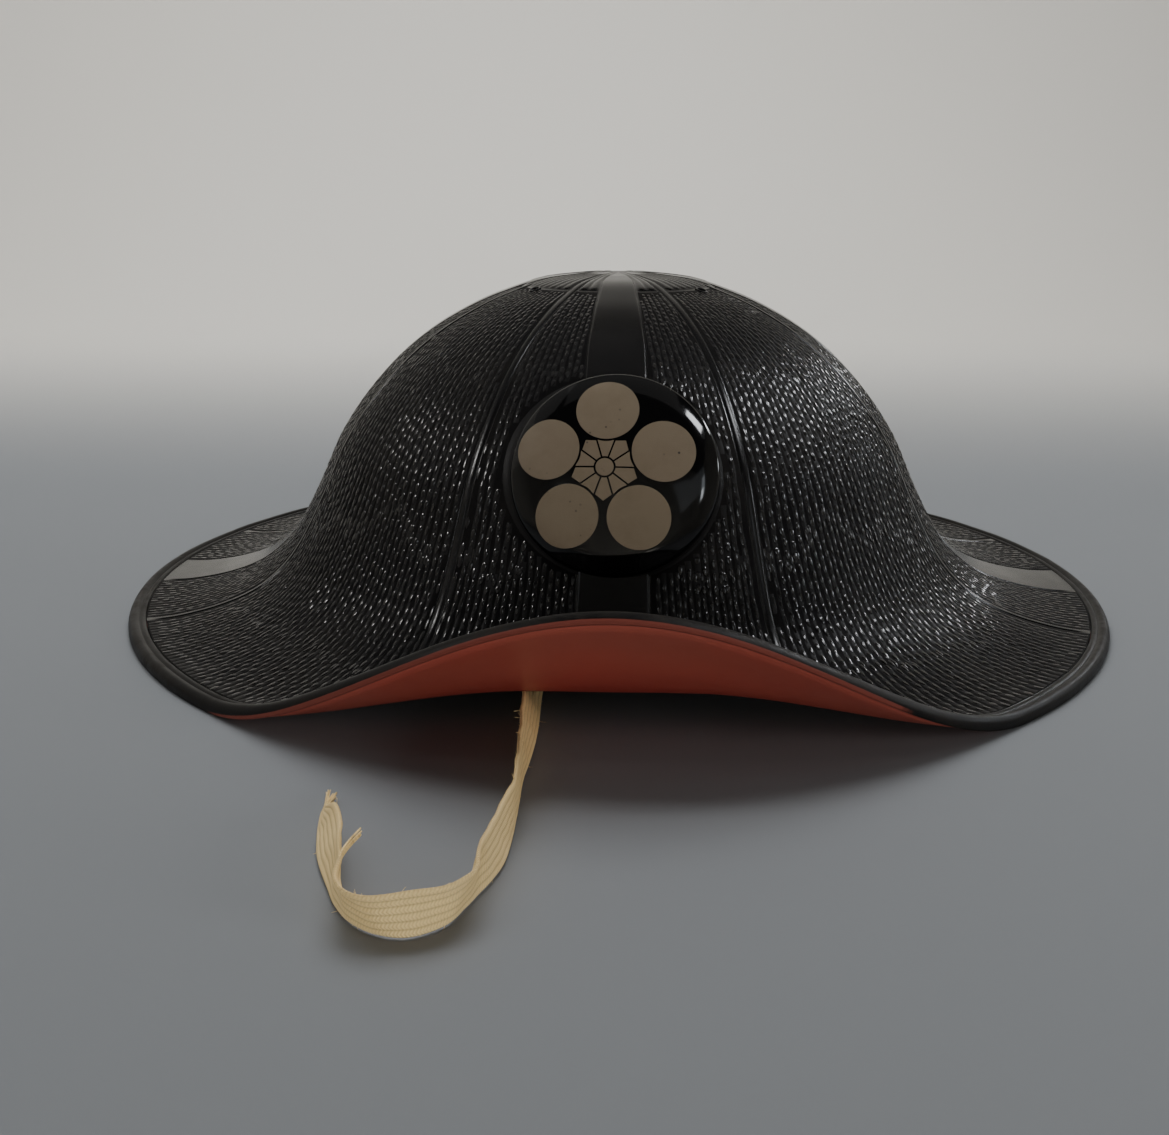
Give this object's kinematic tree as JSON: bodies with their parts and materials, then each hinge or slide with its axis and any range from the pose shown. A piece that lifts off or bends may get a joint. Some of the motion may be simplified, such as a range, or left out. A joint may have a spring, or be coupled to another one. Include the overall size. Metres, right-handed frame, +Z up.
{
  "type": "samurai war hat",
  "caption": "Round lacquered war hat with a domed crown, a wide brim turned up in front, a round crest boss and a loose chin tape.",
  "frame": {"origin": "on the surface that the brim rests on, under the top of the crown", "axes": "+Z up through the crown, -Y towards the turned-up front with the crest, +X to the viewer's right seen from the front"},
  "size_m": [0.38, 0.4584, 0.126],
  "materials": {
    "black_lacquer": "black lacquer over embossed hide, glossy grains",
    "rim_lacquer": "black lacquer, satin, worn on the edge",
    "red_lacquer": "faded red lacquer, satin",
    "boss_lacquer": "mirror-polished black lacquer",
    "crest_gold": "dull pale gold, matt",
    "anchor_pad": "plain dark hide",
    "cotton_tape": "ribbed cotton tape, undyed"
  },
  "bodies": {
    "root": {"crown_shell": "black_lacquer", "rim_binding": "rim_lacquer", "red_underside": "red_lacquer", "crest_boss": "boss_lacquer", "crest_petal_1": "crest_gold", "crest_petal_2": "crest_gold", "crest_petal_3": "crest_gold", "crest_petal_4": "crest_gold", "crest_petal_5": "crest_gold", "crest_star": "crest_gold", "crest_hub": "crest_gold", "tape_anchor": "anchor_pad", "chin_tape": "cotton_tape"}
  },
  "joints": []
}
